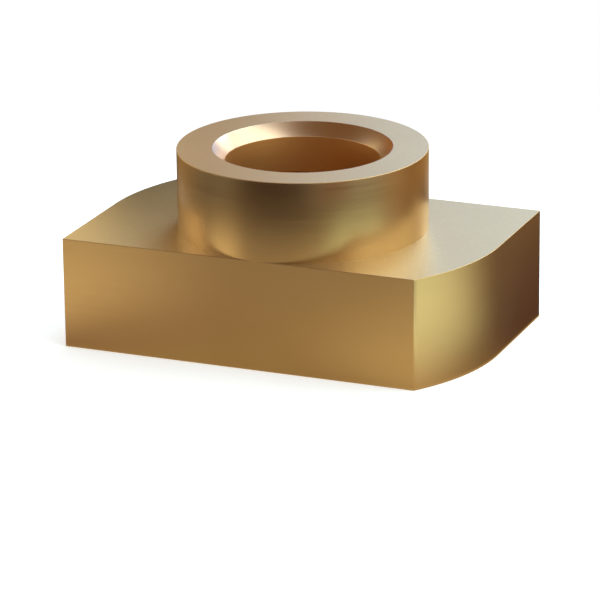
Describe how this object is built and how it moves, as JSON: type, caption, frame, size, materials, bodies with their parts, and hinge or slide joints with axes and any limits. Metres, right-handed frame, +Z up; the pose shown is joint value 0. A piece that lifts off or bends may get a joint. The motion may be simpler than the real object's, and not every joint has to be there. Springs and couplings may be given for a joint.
{
  "type": "sliding nut",
  "caption": "Low brass block with parallel sides, round-cornered ends, a round collar as wide as the block and a threaded bore through both, turned in a slot to lock.",
  "frame": {"origin": "on the thread axis, at the underside of the block", "axes": "+X along the block's length, +Z up the thread axis towards the collar's mouth"},
  "size_m": [0.0132, 0.008, 0.0062],
  "materials": {
    "brass": "satin"
  },
  "bodies": {
    "root": {"sliding_nut": "brass"}
  },
  "joints": []
}
